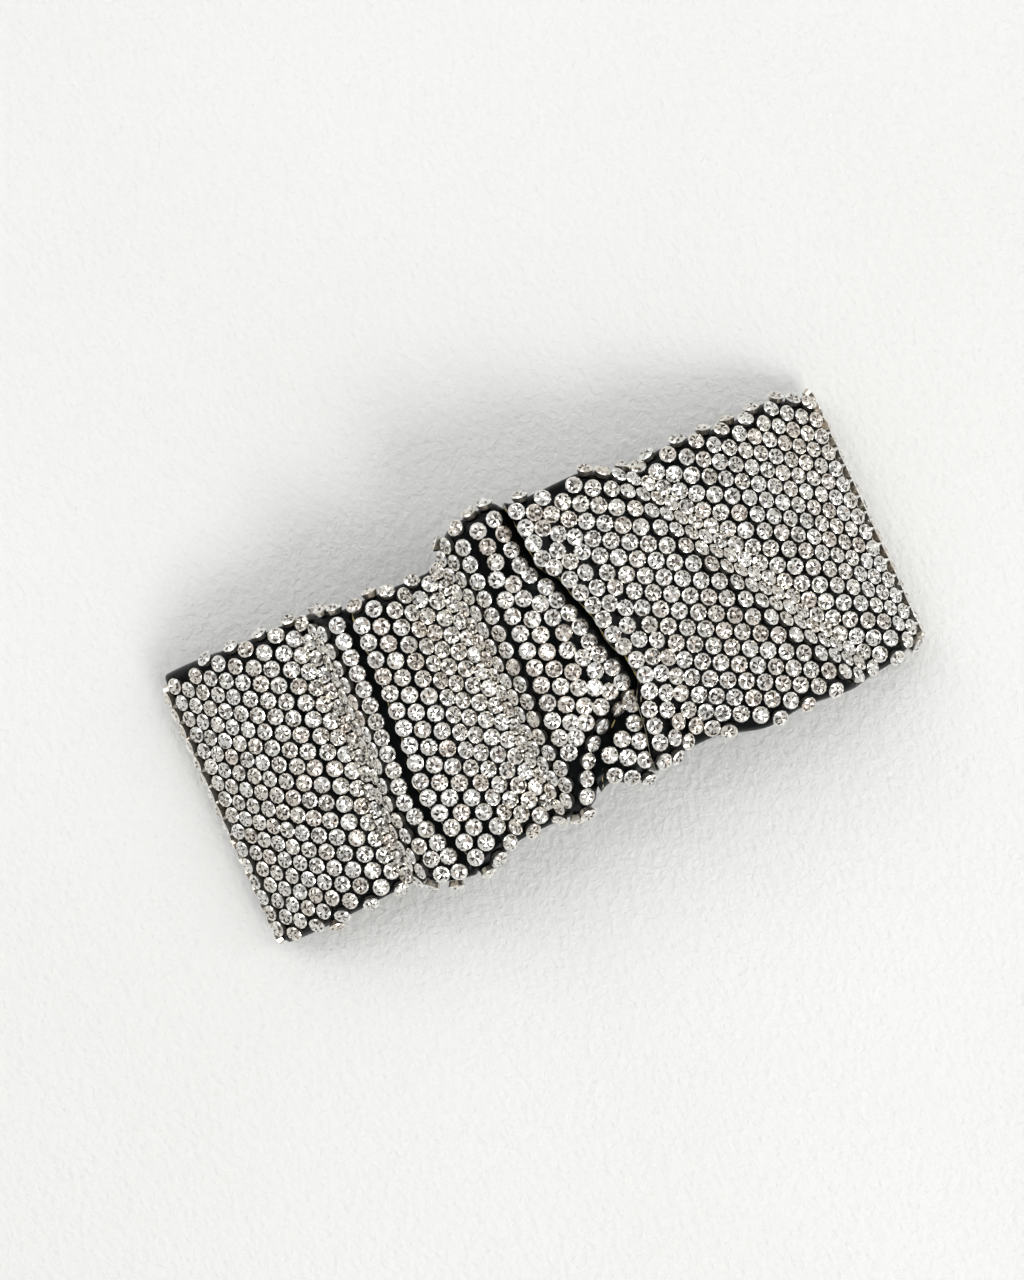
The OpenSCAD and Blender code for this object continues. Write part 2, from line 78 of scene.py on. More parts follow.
# %% Smooth curve and soft step
def through(knots, s):
    s = np.asarray(s, float)
    at = np.stack([np.broadcast_to(np.asarray(k[0], float), s.shape) for k in knots])
    to = np.stack([np.broadcast_to(np.asarray(k[1], float), s.shape) for k in knots])
    rise = (to[1:] - to[:-1]) / (at[1:] - at[:-1])
    slope = np.zeros_like(at)
    both = rise[:-1] * rise[1:]
    total = np.where(both > 0, rise[:-1] + rise[1:], 1.0)
    slope[1:-1] = np.where(both > 0, 2 * both / total, 0.0)
    out = to[0].copy()
    for i in range(len(knots) - 1):
        w = at[i + 1] - at[i]
        t = np.clip((s - at[i]) / w, 0, 1)
        value = (to[i] * (1 + 2 * t) * (1 - t) ** 2 + slope[i] * w * t * (1 - t) ** 2
                 + to[i + 1] * t * t * (3 - 2 * t) - slope[i + 1] * w * t * t * (1 - t))
        out = np.where(s > at[i], value, out)
    return out


def ease(t):
    t = np.clip(t, 0, 1)
    return t * t * (3 - 2 * t)


def dimple(u, v, x, y, a, b):
    return np.exp(-((u - x) / a) ** 2 - ((v - y) / b) ** 2)


# %% Outline and fold lines, along (u) and across (v) the clip
FRONT_EDGE = [[-55, 23.2], [-33, 22.1], [-21.6, 24.4], [-14, 22.5], [-4, 22.5], [1.4, 20.2],
              [4.4, 21.8], [13, 20.6], [18, 20.7], [26, 22.7], [31, 22.3], [41, 23.3],
              [49, 22.8], [55, 21.6]]
BACK_EDGE = [[-55, 22.8], [-40, 21.8], [-30, 21.5], [-24, 19.7], [-11, 19.5], [-4, 24],
             [2.5, 24.5], [5.5, 23.2], [15, 23.4], [24, 21], [30, 21.8], [42, 21.2],
             [49, 21.9], [55, 20.4]]
CUT_1 = [[-24, -20.8], [-20, -21.4], [-15, -22.7], [-9.5, -23.8], [-6, -23.3], [0, -22.7],
         [9, -22.2], [20, -21.9]]
CREST_1 = [[-20, -26.8], [-10, -27], [-2, -25.6], [20, -25.2]]
CUT_2 = [[-23, 7.6], [-17.4, 8.6], [-12.5, 9.2], [-8.4, 10.8], [-4.4, 10.4], [-1.4, 9.2],
         [3.6, 8.5], [8, 7.1], [10.6, 6.5], [13.6, 4.6], [19, 4.3], [24, 3.9]]
CUT_3 = [[-22, -0.6], [-19.3, 0.4], [-15.3, 2.3], [-11.3, 6.2], [-9.3, 10.4]]
PLEAT_TOP = CUT_3[-1][0]


def half_width(u, v):
    return np.where(np.asarray(v) < 0, through(FRONT_EDGE, u), through(BACK_EDGE, u))


def cut_centre_end(v):
    """Where the centre sheet goes under the next piece."""
    second = through(CUT_2, v)
    return np.where(np.asarray(v) > PLEAT_TOP, second, np.minimum(second, through(CUT_3, v)))


# %% [markdown]
# ## Pleats
# Each sheet has its own relief over the foam: it rises to a crest, dives into a valley, and
# runs on as a tongue under the next sheet, the way ruched cloth is gathered. The same
# function places the film and, later, every stone on it, so the stones follow each fold.


# %% Relief of the four sheets
def left_relief(u, v):
    crest, cut = through(CREST_1, v), through(CUT_1, v)
    return through([[-END_U, 1.2], [-48, 2.4], [-42, 3], [-37, 2.4], [crest - 5.6, 0.1],
                    [crest + 0.2, 4.4], [cut, 3.7], [cut + TONGUE, 3]], u)


def centre_relief(u, v):
    first, second, third = through(CUT_1, v), through(CUT_2, v), through(CUT_3, v)
    swell = through([[first, 5.3], [first + 5, 4.5], [-13.2, 1.5], [-8.6, 0.1], [-3, 5],
                     [1.2, 5.5], [second - 1, 4.6], [second + TONGUE, 3.2]], u)
    return swell - 2.8 * ease((u - third + 3.6) / 3) * ease((-8.5 - v) / 1.5)


def right_relief(u, v):
    second, valley = through(CUT_2, v), 34.6 - 0.5 * v
    return through([[second, 6], [second + 7, 4.9], [valley - 8, 4.8], [valley, 1.1],
                    [valley + 5.5, 2.2], [END_U, 0.6]], u) - 2.4 * dimple(u, v, 17, -20, 5.5, 6)


def pleat_relief(u, v):
    return 4.1 - 0.5 * ease((-17 - v) / 5) + 0 * u


RELIEF = {"left": left_relief, "centre": centre_relief, "right": right_relief,
          "pleat": pleat_relief}


def relief(sheet, u, v):
    return REST_T + RELIEF[sheet](u, v)


# %% Bending flat places onto the arch
def on_arch(u, y, t):
    """The point at u along the arch, y across it and t above the top of the foam."""
    a = np.asarray(u) / PAD_R
    y = np.broadcast_to(y, np.broadcast_shapes(np.shape(a), np.shape(y), np.shape(t)))
    x, z = (PAD_R + t) * np.sin(a), ARCH_Z + (PAD_R + t) * np.cos(a)
    return np.stack([x + 0 * y, y, z + 0 * y], -1)


def roll(s, edge):
    """Place and drop of a run of length s that rolls down over an edge."""
    over = np.maximum(0, np.abs(s) - edge + ROLL_R)
    a = np.minimum(math.pi / 2, over / ROLL_R)
    place = np.sign(s) * (np.minimum(np.abs(s), edge - ROLL_R) + ROLL_R * np.sin(a))
    return place, ROLL_R * (1 - np.cos(a)) + np.maximum(0, over - ROLL_R * math.pi / 2)


def skin(sheet, u, v):
    """The place on a sheet's outer face at u along it and v across it."""
    x, x_drop = roll(u, END_U)
    y, y_drop = roll(v, half_width(x, v))
    return on_arch(x, y, relief(sheet, x, y) - np.hypot(x_drop, y_drop))


def skin_normal(sheet, u, v, e=0.4):
    n = np.cross(skin(sheet, u + e, v) - skin(sheet, u - e, v),
                 skin(sheet, u, v + e) - skin(sheet, u, v - e))
    return n / np.linalg.norm(n, axis=-1, keepdims=True)


print("top of the arch at", skin("centre", np.float64(0), np.float64(0)).round(2))

# %% [markdown]
# ## Finishes
# Most finishes are one recipe: a principled shader, with noise in the colour, the roughness
# and the bump at the size of the real grain. Patterns read Object coordinates, which are
# metres, so a scale of 2000 is a grain of half a millimetre.


# %% A small kit for node materials
class Finish:
    """One material, with short calls for the nodes used over and over."""

    def __init__(self, name, color, rough, metallic=0.0, **sockets):
        self.mat = bpy.data.materials.new(name)
        self.mat.use_nodes = True
        self.tree = self.mat.node_tree
        self.shader = self.tree.nodes["Principled BSDF"]
        self.shader.inputs["Base Color"].default_value = (*color, 1)
        self.shader.inputs["Roughness"].default_value = rough
        self.shader.inputs["Metallic"].default_value = metallic
        for socket, value in sockets.items():
            self.shader.inputs[socket.replace("_", " ")].default_value = value
        self.mat.diffuse_color = (*color, 1)

    def add(self, kind, **settings):
        node = self.tree.nodes.new(kind)
        for key, value in settings.items():
            setattr(node, key, value)
        return node

    def link(self, a, b):
        self.tree.links.new(a, b)

    def place(self, stretch=(1, 1, 1)):
        coords = self.add("ShaderNodeTexCoord")
        mapping = self.add("ShaderNodeMapping")
        mapping.inputs["Scale"].default_value = stretch
        self.link(coords.outputs["Object"], mapping.inputs["Vector"])
        return mapping.outputs["Vector"]

    def noise(self, scale, detail=3, stretch=(1, 1, 1), distortion=0.0):
        node = self.add("ShaderNodeTexNoise")
        node.inputs["Scale"].default_value = scale
        node.inputs["Detail"].default_value = detail
        node.inputs["Distortion"].default_value = distortion
        self.link(self.place(stretch), node.inputs["Vector"])
        return node.outputs["Fac"]

    def cells(self, scale, feature="F1", stretch=(1, 1, 1)):
        node = self.add("ShaderNodeTexVoronoi", feature=feature)
        node.inputs["Scale"].default_value = scale
        self.link(self.place(stretch), node.inputs["Vector"])
        return node.outputs["Distance"]

    def attribute(self, name):
        return self.add("ShaderNodeAttribute", attribute_name=name).outputs["Fac"]

    def ramp(self, value, stops):
        node = self.add("ShaderNodeValToRGB")
        band = node.color_ramp
        while len(band.elements) < len(stops):
            band.elements.new(0.5)
        for element, (at, color) in zip(band.elements, stops):
            element.position = at
            element.color = (*color, 1) if len(color) == 3 else color
        self.link(value, node.inputs["Fac"])
        return node.outputs["Color"]

    def spread(self, value, low, high, from_low=0.0, from_high=1.0):
        node = self.add("ShaderNodeMapRange")
        for key, number in (("From Min", from_low), ("From Max", from_high),
                            ("To Min", low), ("To Max", high)):
            node.inputs[key].default_value = number
        self.link(value, node.inputs["Value"])
        return node.outputs["Result"]

    def sum(self, a, b, kind="ADD"):
        node = self.add("ShaderNodeMath", operation=kind)
        for socket, value in zip(node.inputs, (a, b)):
            if hasattr(value, "is_output"):
                self.link(value, socket)
            else:
                socket.default_value = value
        return node.outputs["Value"]

    def mix(self, factor, a, b, kind="MIX"):
        node = self.add("ShaderNodeMix", data_type="RGBA", blend_type=kind)
        for socket, value in ((node.inputs[0], factor), (node.inputs[6], a), (node.inputs[7], b)):
            if hasattr(value, "is_output"):
                self.link(value, socket)
            else:
                socket.default_value = (*value, 1) if isinstance(value, tuple) else value
        return node.outputs[2]

    def color(self, value):
        self.link(value, self.shader.inputs["Base Color"])

    def rough(self, value, low, high):
        self.link(self.spread(value, low, high), self.shader.inputs["Roughness"])

    def bump(self, value, height, strength=1.0):
        node = self.add("ShaderNodeBump")
        node.inputs["Strength"].default_value = strength
        node.inputs["Distance"].default_value = height
        self.link(value, node.inputs["Height"])
        self.link(node.outputs["Normal"], self.shader.inputs["Normal"])


# %% [markdown]
# ### Film
# The film is a soft black vinyl: nearly black, with a clear gloss that breaks up where the
# sheet is crumpled. Faint cloudy teal patches painted into its colour are a painted reflection.

# %% Glossy black film and its cut edge
film = Finish("glossy_black_film", (0.003, 0.004, 0.004), 0.2, Coat_Weight=0.03,
              Coat_Roughness=0.1, Specular_IOR_Level=0.1)
# The teal-tinted stops make painted reflection patches in the film's colour.
film.color(film.ramp(film.noise(160, 4), [(0.35, (0.001, 0.0014, 0.0014)),
                                          (0.62, (0.002, 0.0034, 0.0036)),
                                          (0.8, (0.006, 0.009, 0.0095))]))
film.rough(film.noise(420, 4), 0.12, 0.42)
film.bump(film.sum(film.noise(330, 3, distortion=1.2),
                   film.sum(film.noise(2600, 2), 0.12, "MULTIPLY")), 0.00035, 0.5)

cut_film = Finish("cut_film_core", (0.5, 0.46, 0.36), 0.5, Coat_Weight=0.3)
cut_film.color(cut_film.ramp(cut_film.noise(700, 4), [(0.36, (0.03, 0.028, 0.02)),
                                                      (0.5, (0.3, 0.25, 0.15)),
                                                      (0.66, (0.7, 0.68, 0.6))]))
cut_film.rough(cut_film.noise(1500, 2), 0.3, 0.7)
cut_film.bump(cut_film.noise(2200, 3), 0.0001, 0.6)
print("film finishes made")

# %% [markdown]
# ## Meshes from grids
# A sheet is a grid of places with an outer and an inner face, closed all round its rim. One
# helper turns any such pair of grids into a closed shell.


# %% Mesh helpers
def new_piece(name, verts, faces, *finishes, smooth=True):
    mesh = bpy.data.meshes.new(name)
    mesh.from_pydata([tuple(p) for p in np.asarray(verts) * MM], [], faces)
    for finish in finishes:
        mesh.materials.append(finish.mat)
    mesh.polygons.foreach_set("use_smooth", [smooth] * len(mesh.polygons))
    mesh.update()
    piece = bpy.data.objects.new(name, mesh)
    bpy.context.scene.collection.objects.link(piece)
    return piece


def volume_of(verts, faces):
    total = 0.0
    for face in faces:
        a = verts[face[0]]
        for b, c in zip(face[1:-1], face[2:]):
            total += np.dot(a, np.cross(verts[b], verts[c])) / 6
    return total


def shell(outer, inner):
    """Closed shell between two grids of points. Returns points, faces and the rim's first face."""
    rows, cols = outer.shape[:2]
    count = rows * cols
    at = np.arange(count).reshape(rows, cols)
    quads = np.stack([at[:-1, :-1], at[:-1, 1:], at[1:, 1:], at[1:, :-1]], -1).reshape(-1, 4)
    rim = np.concatenate([at[0, :-1], at[:-1, -1], at[-1, :0:-1], at[:0:-1, 0]])
    following = np.roll(rim, -1)
    sides = np.stack([rim, rim + count, following + count, following], -1)
    verts = np.concatenate([outer.reshape(-1, 3), inner.reshape(-1, 3)])
    faces = np.concatenate([quads, quads[:, ::-1] + count, sides]).tolist()
    return verts, faces, 2 * len(quads)


def keep_mesh(piece):
    """The piece with its modifiers applied, as a plain mesh."""
    graph = bpy.context.evaluated_depsgraph_get()
    mesh = bpy.data.meshes.new_from_object(piece.evaluated_get(graph),
                                           preserve_all_data_layers=True, depsgraph=graph)
    piece.modifiers.clear()
    mesh.name = piece.name
    piece.data = mesh
    return piece


# %% [markdown]
# ## The film sheets
# On the real clip each sheet is cut from stone-set film, laid over the foam, turned down over
# the long edges and an end, and glued. A cloth simulation would lose the cut lines and the
# pleat crests, which are what one sees, so the sheets are laid by rule: places along and
# across the sheet are bent over the arch, and the edge places roll round a small radius.

# %% Lay one sheet
MEAN_HALF = 22
ROLL_STEPS = [math.radians(a) for a in (12, 24, 36, 48, 60, 72, 82, 90)]
SKIRT_STEPS = [0.2, 0.45, 0.7, 0.88, 1.0]

# Where a sheet dives under the next one: distance from the next sheet's cut, and how far the
# sheet's edge is drawn in there.
TUCK = [(-2.1, 0.13), (-1.8, 0.26), (-1.5, 0.38), (-1.2, 0.5), (-0.8, 0.7), (-0.4, 0.87),
        (-0.1, 1), (0.6, 1), (1.2, 1), (TONGUE / 2, 1), (TONGUE * 0.75, 1), (TONGUE, 1)]
TUCK_START = 2.4


def edge_run(side):
    """Stations that roll down over an edge: (sign, angle, share of the skirt)."""
    run = [(side, a, 0.0) for a in ROLL_STEPS] + [(side, math.pi / 2, s) for s in SKIRT_STEPS]
    return run if side > 0 else run[::-1]


def sheet_face(sheet, across, along, inset):
    """One face of a sheet. across is a list of (share, angle, skirt); along(v) gives u places,
    angles, skirt shares and how far the sheet is hidden under the next one."""
    share, roll_y, skirt_y = np.array(across).T[:, :, None]
    u0, roll_x, skirt_x, hide = along(MEAN_HALF * share[:, 0])
    r = ROLL_R - inset
    u = np.where(roll_x > 0, np.sign(u0) * (END_U - inset - r + r * np.sin(roll_x)), u0)
    half = half_width(u, share + 0 * u) - inset - (FILM_T + 0.3) * ease(2 * hide - 1)
    y = share * (half - r) + np.sign(share) * r * np.sin(roll_y)
    drop = np.hypot(r * (1 - np.cos(roll_x)), r * (1 - np.cos(roll_y)) + 0 * u)
    top = relief(sheet, u, y) - inset * 1.2 - drop
    low = -STACK + (top + STACK - 0.5) * ease(2 * hide)
    skirt = np.maximum(skirt_x, skirt_y + 0 * u)
    wave = 0.12 * np.sin(u * 1.9 + y) * skirt * (1 - skirt) * 4
    y = y + np.sign(share) * np.where(skirt_y > 0, wave, 0) * (1 - hide)
    return on_arch(u, y, top + (low - top) * skirt)


def steady(a, b, n):
    """n + 1 equal steps from a to b, for arrays of ends."""
    t = np.linspace(0, 1, n + 1)[None, :]
    return np.asarray(a)[:, None] * (1 - t) + np.asarray(b)[:, None] * t


def stations(start, stop, n, tail=None, left_end=False, right_end=False):
    """How a sheet runs along the clip: n even steps, then a tucked tail or a rolled end."""
    def along(v):
        parts, zero = [], np.zeros((len(v), 1))
        if left_end:
            for _, angle, skirt in edge_run(-1):
                parts.append((zero - END_U, zero + angle, zero + skirt, zero))
        u = steady(start(v) + 0 * v, stop(v) + 0 * v, n)
        parts.append((u, 0 * u, 0 * u, 0 * u))
        if tail is not None:
            c = tail(v)[:, None]
            for off, hide in TUCK:
                parts.append((c + off, zero, zero, zero + hide))
        if right_end:
            for _, angle, skirt in edge_run(1):
                parts.append((zero + END_U, zero + angle, zero + skirt, zero))
        return [np.concatenate([p[i] for p in parts], 1) for i in range(4)]
    return along


FULL = [(s, 0.0, 0.0) for s in np.linspace(-1, 1, 89)]
ACROSS = edge_run(-1) + FULL + edge_run(1)
PLEAT_ACROSS = edge_run(-1) + [(s, 0.0, 0.0) for s in np.linspace(-1, -10 / MEAN_HALF, 25)]
LAY = {
    "left": (ACROSS, stations(lambda v: -END_U + ROLL_R + 0 * v,
                              lambda v: through(CUT_1, v) - TUCK_START, 60,
                              lambda v: through(CUT_1, v), left_end=True)),
    "centre": (ACROSS, stations(lambda v: through(CUT_1, v),
                                lambda v: cut_centre_end(v) - TUCK_START, 76,
                                cut_centre_end)),
    "right": (ACROSS, stations(lambda v: through(CUT_2, v), lambda v: END_U - ROLL_R + 0 * v,
                               104, right_end=True)),
    "pleat": (PLEAT_ACROSS, stations(lambda v: through(CUT_3, v),
                                     lambda v: through(CUT_2, v) - TUCK_START, 14,
                                     lambda v: through(CUT_2, v))),
}
SHEET_NODES = {"left": "left_sheet", "centre": "centre_sheet", "right": "right_sheet",
               "pleat": "small_pleat"}


def surface_area(grid):
    a = grid[1:, :-1] - grid[:-1, :-1]
    b = grid[:-1, 1:] - grid[:-1, :-1]
    return float(np.linalg.norm(np.cross(a, b), axis=-1).sum())


sheets, cut_sizes = {}, {}
for name, (across, along) in LAY.items():
    outer = sheet_face(name, across, along, 0.0)
    inner = sheet_face(name, across, along, FILM_T)
    verts, faces, rim_start = shell(outer, inner)
    piece = new_piece(f"film_{name}", verts, faces, film, cut_film)
    for polygon in list(piece.data.polygons)[rim_start:]:
        polygon.material_index = 1
    soften = piece.modifiers.new("soft_edge", "BEVEL")
    soften.width, soften.segments, soften.limit_method = 0.00012, 2, "ANGLE"
    soften.angle_limit = math.radians(50)
    sheets[name] = keep_mesh(piece)
    for corner in piece.data.vertices:  # the softened corners rest on the table, not in it
        corner.co.z = max(corner.co.z, 0)
    mid = (outer + inner) / 2
    across_mm = np.linalg.norm(np.diff(mid, axis=0), axis=-1).sum(0).max()
    along_mm = np.linalg.norm(np.diff(mid, axis=1), axis=-1).sum(1).max()
    cut_sizes[name] = (across_mm, along_mm, surface_area(mid))
    print(f"{name} sheet: {len(piece.data.polygons)} faces, volume "
          f"{volume_of(verts, faces):.0f} mm3, cut {across_mm:.1f} x {along_mm:.1f} mm, "
          f"area {cut_sizes[name][2]:.0f} mm2")

# %% [markdown]
# ## Stones
# A stone is a small cut crystal: a round girdle, a ring of slanted crown facets, and a flat
# table through which its pointed foil back is seen. The foil seen through the table shows as
# a star of bright sectors with dark strokes between them, so the star is cut into the top of
# a silver solid, and each facet's flash or dark stroke is painted light in its colour. That
# stays sharp and cheap for hundreds of stones. Five slightly different cuts are made, because
# no two real stones flash alike.

# %% Cut the stones
STONE_D, STONE_H, STONE_PITCH, STONE_SEAT = 2.4, 1.3, 2.7, 0.12
SECTORS = 12
SEAT_R, GIRDLE_R, CROWN_R, TABLE_R = 0.86, 1.07, 0.86, 0.52  # shares of half of STONE_D
GIRDLE_Z, CROWN_Z, TABLE_Z = 0.68, 0.84, 0.98  # shares of STONE_H
dice = np.random.default_rng(41)


def ring(r, z, turn=0.0, wander=0.0):
    a = (np.arange(SECTORS) + turn) * 2 * math.pi / SECTORS
    rr = r * (1 + wander * dice.uniform(-1, 1, SECTORS))
    zz = z + wander * dice.uniform(-1, 1, SECTORS)
    return np.stack([rr * np.cos(a), rr * np.sin(a), zz], -1)


def cut_stone(name):
    r, h, n = STONE_D / 2, STONE_H, SECTORS
    seat, girdle = ring(r * SEAT_R, 0), ring(r * GIRDLE_R, GIRDLE_Z * h)
    crown = ring(r * CROWN_R, CROWN_Z * h, 0.5, 0.03)
    table = ring(r * TABLE_R, TABLE_Z * h, 0.0, 0.03)
    table[:, 2] -= 0.05 * h * (np.arange(n) % 2)
    heart = np.array([[*dice.uniform(-0.1, 0.1, 2), CROWN_Z * h]])
    verts = np.concatenate([seat, girdle, crown, table, heart])
    faces, tone = [list(range(n))[::-1]], [0.5]
    for i in range(n):
        j, k = (i + 1) % n, (i - 1) % n
        faces += [[i, j, n + j, n + i], [n + i, n + j, 2 * n + i],
                  [2 * n + i, n + j, 2 * n + j], [2 * n + i, 3 * n + j, 3 * n + i],
                  [3 * n + j, 2 * n + i, 2 * n + j], [3 * n + i, 3 * n + j, 4 * n]]
        # Random painted brightness per facet: painted flashes and painted dark strokes on girdle,
        # crown and table facets.
        tone += [0.3, *dice.uniform(0.35, 1, 2), *dice.uniform(0, 1, 3)]
    stone = new_piece(name, verts, faces, smooth=False)
    # Each facet's painted light, from a painted dark stroke of shade (0) to a painted full flash
    # (1).
    facet = stone.data.attributes.new("facet", "FLOAT", "FACE")
    facet.data.foreach_set("value", tone)
    return stone


tray = bpy.data.collections.new("stone_tray")
for number in range(5):
    stone = cut_stone(f"cut_{number}")
    bpy.context.scene.collection.objects.unlink(stone)
    tray.objects.link(stone)
print("faces in one stone:", len(stone.data.polygons))

# %% Crystal finish
crystal = Finish("foiled_crystal", (0.9, 0.89, 0.87), 0.1, metallic=0.88, Coat_Weight=0.5,
                 Coat_Roughness=0.03)
painted_light = crystal.attribute("facet")
warmth = crystal.attribute("stone_tone")
# Painted light: the facet value picks near black for a painted dark stroke and white for a painted
# flash.
clear = crystal.ramp(painted_light, [(0.0, (0.04, 0.03, 0.025)), (0.2, (0.14, 0.11, 0.09)),
                             (0.3, (0.6, 0.57, 0.52)), (0.6, (0.88, 0.87, 0.83)),
                             (1.0, (1.0, 1.0, 0.98))])
tint = crystal.ramp(warmth, [(0.0, (1.0, 1.0, 1.0)), (0.7, (0.97, 0.95, 0.91)),
                             (1.0, (0.93, 0.86, 0.8))])
crystal.color(crystal.mix(1.0, clear, tint, "MULTIPLY"))
crystal.rough(crystal.noise(5200, 2), 0.06, 0.2)

# %% [markdown]
# ## Setting the stones
# Stones are set in rows across the film, each row shifted by half a pitch, so that they pack
# like a honeycomb. Steps along the film are measured over the pleats, so rows stay evenly
# spaced on the slopes. Plain rows would leave a ragged bare edge where a sheet is cut, and on
# the real clip the cut is lined with stones. So a chain of stones is laid along the cut, gaps
# behind it are filled, and the nearest rows are pushed apart until they sit evenly behind it.
# A small node tree then stands a stone on each place, tilts it along the film, spins it by
# chance and picks its cut.


# %% Places of the stones
def steep(sheet, u, v):
    """Length along the film for one unit of u."""
    x = roll(u, END_U)[0]
    slope = relief(sheet, x + 0.5, v) - relief(sheet, x - 0.5, v)
    return np.where(np.abs(u) > END_U - ROLL_R, 1.0, np.hypot(1, slope))


def columns(sheet, v, a, b):
    """Places one column apart along the film, from a towards b."""
    step, way, u, out = STONE_PITCH * math.sqrt(3) / 2, np.sign(b - a), float(a), []
    while way * (b - u) > 0:
        out.append(u)
        u = float(u + way * step / steep(sheet, np.float64(u + way * step / 2), np.float64(v)))
    return out


# How far in from each long edge the stones stop, along the clip.
BARE_FRONT = [[-55, 2], [-46, 0.2], [8, 0.4], [12, 1.6], [20, 0.6], [25, 1.8], [30, 0.4],
              [34, 1.6], [49, 1.6], [52, 0]]
BARE_BACK = [[-52, 2.6], [-43, 0.6], [-30, 0], [2, 0], [5, 1], [14, 1.2], [18, 0]]


def in_outline(u, v):
    half = half_width(np.float64(u), v)
    return -half - 0.7 + through(BARE_FRONT, u) < v < half + 0.7 - through(BARE_BACK, u)


# For each sheet: the first and last row, the column the rows are counted from, and how far
# they run to the left and to the right.
ROWS = {
    "left": (-25.6, 25.6, lambda v: through(CREST_1, v), lambda v: -END_U - 3,
             lambda v: through(CUT_1, v) - 1.35),
    "centre": (-25.6, 26.6, lambda v: through(CUT_1, v) + 0.8, lambda v: through(CUT_1, v) + 0.5,
               lambda v: cut_centre_end(v) - (1.7 if v > PLEAT_TOP else 2.8)),
    "right": (-25.6, 26.6, lambda v: 22.3, lambda v: through(CUT_2, v) + 0.4,
              lambda v: END_U + 3),
    "pleat": (-23, -10.6, lambda v: through(CUT_2, v) - 1.4,
              lambda v: through(CUT_3, v) + 0.8 + ease((-18 - v) / 3),
              lambda v: through(CUT_2, v) - 1.4),
}


def stone_places(sheet):
    v_from, v_to, start, left, right = ROWS[sheet]
    half, places = STONE_PITCH / 2, []
    for m in range(math.ceil(v_from / half), math.floor(v_to / half) + 1):
        v = m * half
        for to, first in ((left, 0), (right, 1)):
            run = columns(sheet, v, float(start(v)), float(to(v)))
            places += [(u, v) for k, u in enumerate(run)
                       if k >= first and (k + m) % 2 == 0 and in_outline(u, v)]
    places = np.array(places)
    return places if sheet == "pleat" else settle(sheet, places)


# The line each chain of stones follows, and the side of it on which the rows lie.
CHAINS = {
    "left": (-1, lambda v: through(CUT_1, v) - 2.7),
    "centre": (-1, lambda v: cut_centre_end(v) - np.where(v > PLEAT_TOP, 2.5, 3.1)),
    "right": (1, lambda v: through(CUT_2, v) + 0.8),
}
CHAIN_STEP = 0.94 * STONE_PITCH
ROW_CLEAR = 1.3  # stones of the rows nearer to the line than this make way for the chain
FILL_OFF, FILL_V = np.arange(1.8, 4.5, 0.3), np.arange(-24, 24.5, 0.4)  # where gaps are tried
FILL_GAP, SPACING, CROWDED = 2.12, 2.56, 1.9  # room to add a stone, to rest in, to be dropped
ROUNDS, PUSH, PULL, PACKED_OVER = 45, 0.3, 0.02, 4


def settle(sheet, rows):
    """Lay a chain of stones along the cut, and pack the nearest rows up against it."""
    side, line = CHAINS[sheet]
    chain, v = [], -25.0
    while v < 26:
        if in_outline(float(line(v)), v):
            chain.append((float(line(v)), v))
        v += CHAIN_STEP / math.hypot(1, float(line(v + 0.5) - line(v - 0.5)))
    clear_of = side * (rows[:, 0] - line(rows[:, 1])) > ROW_CLEAR
    places, count = np.concatenate([chain, rows[clear_of]]), len(chain)
    at = skin(sheet, *places.T)
    for off in FILL_OFF:
        u = line(FILL_V) + side * off
        for spot, *place in zip(skin(sheet, u, FILL_V), u, FILL_V):
            if np.linalg.norm(at - spot, axis=1).min() > FILL_GAP and in_outline(*place):
                at, places = np.vstack([at, spot]), np.vstack([places, place])
    for _ in range(ROUNDS):
        at = skin(sheet, *places.T)
        gap = at[:, None] - at[None]
        d = np.linalg.norm(gap, axis=-1) + 100 * np.eye(len(at))
        move = (PUSH * np.maximum(0, SPACING - d) / d)[..., None] * gap
        move = move.sum(1)[:, :2]
        near = ease(1.5 - side * (places[:, 0] - line(places[:, 1])) / PACKED_OVER)
        move[:, 0] -= PULL * side
        move[:count] = 0
        places += move * near[:, None]
    at = skin(sheet, *places.T)
    crowd = np.linalg.norm(at[:, None] - at[None], axis=-1) < CROWDED
    keep = [i for i in range(len(at)) if i < count or not crowd[i, :i].any()]
    return places[keep]


# %% The setting tree
def group_socket(tree, name, kind, value=None, way="INPUT"):
    socket = tree.interface.new_socket(name, in_out=way, socket_type=kind)
    if value is not None:
        socket.default_value = value
    return socket.identifier


def random_value(tree, kind, low, high, seed):
    node = tree.nodes.new("FunctionNodeRandomValue")
    node.data_type = kind
    first = 2 if kind == "FLOAT" else 4
    node.inputs[first].default_value = low
    node.inputs[first + 1].default_value = high
    node.inputs["Seed"].default_value = seed
    return node.outputs[1 if kind == "FLOAT" else 2]


